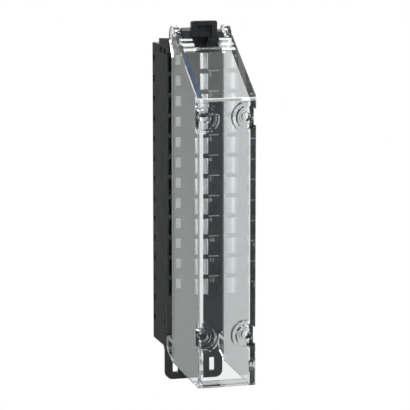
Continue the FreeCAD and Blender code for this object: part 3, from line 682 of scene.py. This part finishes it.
class Block:
    """The fixed part: housing, clamps, contacts, marker plates, carrier strip and hinge pins."""

    def __init__(self, frame: dict, sizes: BlockSizes) -> None:
        """Dress or paint every node of the fixed part.

        Args:
            sizes: Its edge rounding and its numbers.
        """
        DressedPiece(frame, "housing", "block", Finish.HOUSING, sizes.moulded)
        for way in range(1, WAYS + 1):
            DressedPiece(frame, f"clamp_{way:02d}", "block", Finish.CLAMP, sizes.pressed)
            paint(frame["nodes"][f"contact_{way:02d}"], Finish.CONTACT)
            paint(frame["nodes"][f"marker_{way:02d}"], Finish.MARKER)
        paint(frame["nodes"]["marker_strip"], Finish.STRIP)
        for side in ("left", "right"):
            paint(frame["nodes"]["pin_" + side], Finish.PIN)
        Numbers(frame, sizes.numbers)


@dataclass(frozen=True)
class MovingSizes:
    """Edge rounding of the two moving parts."""

    cover: EdgeSizes = EdgeSizes(0.12)
    lever: EdgeSizes = EdgeSizes(0.25)


class MovingParts:
    """The clear cover and the release lever."""

    def __init__(self, frame: dict, sizes: MovingSizes) -> None:
        """Dress both moving parts.

        Args:
            sizes: Their edge rounding.
        """
        DressedPiece(frame, "cover", "clear_cover", Finish.COVER, sizes.cover)
        DressedPiece(frame, "lever", "release_lever", Finish.LEVER, sizes.lever)


@dataclass(frozen=True)
class Lamp:
    """A square soft lamp that faces the object, in metres and watts."""

    name: str
    place: tuple[float, float, float]
    side: float
    watts: float


@dataclass(frozen=True)
class Walls:
    """The pale walls that the world shows, as strengths where one is white.

    They are a little darker to the left, in front and below, which keeps the black housing deep and
    lets the clear cover's left wall show a mid grey shine.
    """

    slope: tuple[float, float, float] = (0.3, 0.16, 0.25)
    level: float = 0.4
    depth_fall: float = 0.35
    least: float = 0.08
    # A small paler card low behind the object, with the cosines of its soft outer and inner edge.
    card: tuple[float, float, float] = (-0.26, 0.928, -0.27)
    card_edges: tuple[float, float] = (0.9877, 0.9994)
    card_glow: float = 0.2
    # Heights of the rear band that the clear cover shows paler, and its share of white.
    band: tuple[float, float] = (-0.62, 0.4)
    band_share: float = 0.5


@dataclass(frozen=True)
class StudioSizes:
    """Places and sizes of the studio, in metres."""

    camera: tuple[float, float, float] = (-0.21963, -0.82722, 0.13568)
    aim: tuple[float, float, float] = (-0.008176, -0.06475, 0.00271)
    lens_mm: float = 199.87
    sensor_mm: float = 36.0
    floor_drop: float = 0.002
    floor_half: float = 1.5
    backdrop_half_deg: float = 13.0
    walls: Walls = Walls()
    lamps: tuple[Lamp, ...] = (
        Lamp("key_lamp", (-0.35, -0.6, 0.7), 0.5, 9.5),
        Lamp("fill_lamp", (0.8, -0.35, 0.25), 0.6, 6.5),
        Lamp("back_lamp", (0.1, 0.7, 0.6), 0.6, 6.5),
    )


class Studio:
    """White studio: soft lamps, pale floor, white backdrop and the fitted camera."""

    # White paper, pressed smooth: dull and even, so it only bounces soft light up.
    FLOOR = MouldedPlastic("white_paper", "#e4e4e4", "#ececec", 0.7, 2.0)

    def __init__(self, sizes: StudioSizes) -> None:
        """Set the studio up.

        Args:
            sizes: Places and sizes.
        """
        self.sizes = sizes
        self.world()
        self.floor()
        for lamp in sizes.lamps:
            self.lamp(lamp)
        self.camera()

    def wall_shade(self, graph: NodeGraph, way: Socket, height: Socket) -> Socket:
        """Find how bright the walls are in each direction.

        Args:
            graph: The world's graph.
            way: Socket of the direction.
            height: Socket of the direction's upward part.

        Returns:
            Socket of the strength.
        """
        walls = self.sizes.walls
        shade = graph.math("ADD", graph.along(way, walls.slope), walls.level)
        below = graph.math("MULTIPLY", graph.math("MINIMUM", height, 0.0), walls.depth_fall)
        shade = graph.math("ADD", shade, below)
        card = graph.add("ShaderNodeMapRange", Value=graph.along(way, walls.card),
                         From_Min=walls.card_edges[0], From_Max=walls.card_edges[1],
                         To_Min=0.0, To_Max=walls.card_glow)
        return graph.math("MAXIMUM", graph.math("ADD", shade, card.outputs[0]), walls.least)

    def white_share(self, graph: NodeGraph, way: Socket, parts: list[Socket]) -> Socket:
        """Find how far white takes the place of the walls in each direction.

        Args:
            graph: The world's graph.
            way: Socket of the direction.
            parts: Sockets of the direction's three parts.

        Returns:
            Socket of the share.
        """
        walls = self.sizes.walls
        axis = (Vector(self.sizes.aim) - Vector(self.sizes.camera)).normalized()
        backdrop = graph.math("GREATER_THAN", graph.along(way, axis),
                              math.cos(math.radians(self.sizes.backdrop_half_deg)))
        path = graph.add("ShaderNodeLightPath")
        seen = graph.math("MAXIMUM", path.outputs["Is Camera Ray"], backdrop)
        far = graph.math("GREATER_THAN", parts[1], 0.0)
        level = graph.math("MULTIPLY", graph.math("GREATER_THAN", parts[2], walls.band[0]),
                           graph.math("LESS_THAN", parts[2], walls.band[1]))
        through = graph.math("MULTIPLY", path.outputs["Is Transmission Ray"],
                             graph.math("MULTIPLY", far, level))
        return graph.math("MAXIMUM", seen, graph.math("MULTIPLY", through, walls.band_share))

    def world(self) -> None:
        """Light the scene from pale walls, with a pure white backdrop behind the object.

        The backdrop is a cone about the photo's view. What the clear cover lets through from the
        rest of the rear half is paler than the walls, so that it looks clear from the sides too.
        """
        world = bpy.data.worlds.new("studio")
        bpy.context.scene.world = world
        world.use_nodes = True
        graph = NodeGraph(world.node_tree)
        way = graph.add("ShaderNodeTexCoord").outputs["Generated"]
        parts = graph.add("ShaderNodeSeparateXYZ", Vector=way).outputs
        walls = graph.add("ShaderNodeBackground", Color=(1, 1, 1, 1),
                          Strength=self.wall_shade(graph, way, parts[2]))
        white = graph.add("ShaderNodeBackground", Color=(1, 1, 1, 1), Strength=1.0)
        mix = graph.add("ShaderNodeMixShader", i0=self.white_share(graph, way, parts),
                        i1=walls.outputs[0], i2=white.outputs[0])
        graph.add("ShaderNodeOutputWorld", Surface=mix.outputs[0])

    def floor(self) -> None:
        """Lay a pale floor that bounces light up and stays out of sight of the lens."""
        low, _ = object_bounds()
        half = self.sizes.floor_half
        mesh = bpy.data.meshes.new("floor")
        height = low.z - self.sizes.floor_drop
        corners = [(-half, -half), (half, -half), (half, half), (-half, half)]
        mesh.from_pydata([(x, y, height) for x, y in corners], [], [(0, 1, 2, 3)])
        floor = bpy.data.objects.new("floor", mesh)
        bpy.context.scene.collection.objects.link(floor)
        floor.data.materials.append(self.FLOOR.make())
        floor.visible_camera = False
        floor.visible_transmission = False
        floor.visible_glossy = False
        floor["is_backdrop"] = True

    def lamp(self, sizes: Lamp) -> None:
        """Hang one lamp so that it faces the object.

        Args:
            sizes: The lamp's name, place, side and power.
        """
        data = bpy.data.lights.new(sizes.name, "AREA")
        data.shape = "SQUARE"
        data.size = sizes.side
        data.energy = sizes.watts
        lamp = bpy.data.objects.new(sizes.name, data)
        lamp.location = sizes.place
        lamp.rotation_euler = (-Vector(sizes.place)).to_track_quat("-Z", "Y").to_euler()
        bpy.context.scene.collection.objects.link(lamp)
        lamp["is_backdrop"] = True

    def camera(self) -> None:
        """Put the camera where the photo was taken from."""
        data = bpy.data.cameras.new("camera")
        data.lens = self.sizes.lens_mm
        data.sensor_width = self.sizes.sensor_mm
        data.dof.use_dof = False
        camera = bpy.data.objects.new("camera", data)
        camera.location = self.sizes.camera
        way = Vector(self.sizes.aim) - Vector(self.sizes.camera)
        camera.rotation_euler = way.to_track_quat("-Z", "Y").to_euler()
        bpy.context.scene.collection.objects.link(camera)
        bpy.context.scene.camera = camera
        camera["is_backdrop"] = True


def set_light_paths() -> None:
    """Let rays pass the cover's walls, pockets and the pieces behind them."""
    for name, count in LIGHT_PATHS.items():
        setattr(bpy.context.scene.cycles, name, count)


def main() -> None:
    """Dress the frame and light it."""
    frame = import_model()
    bpy.context.scene.view_settings.view_transform = "Standard"
    Block(frame, BlockSizes())
    MovingParts(frame, MovingSizes())
    Studio(StudioSizes())
    set_light_paths()


if __name__ == "__main__":
    main()
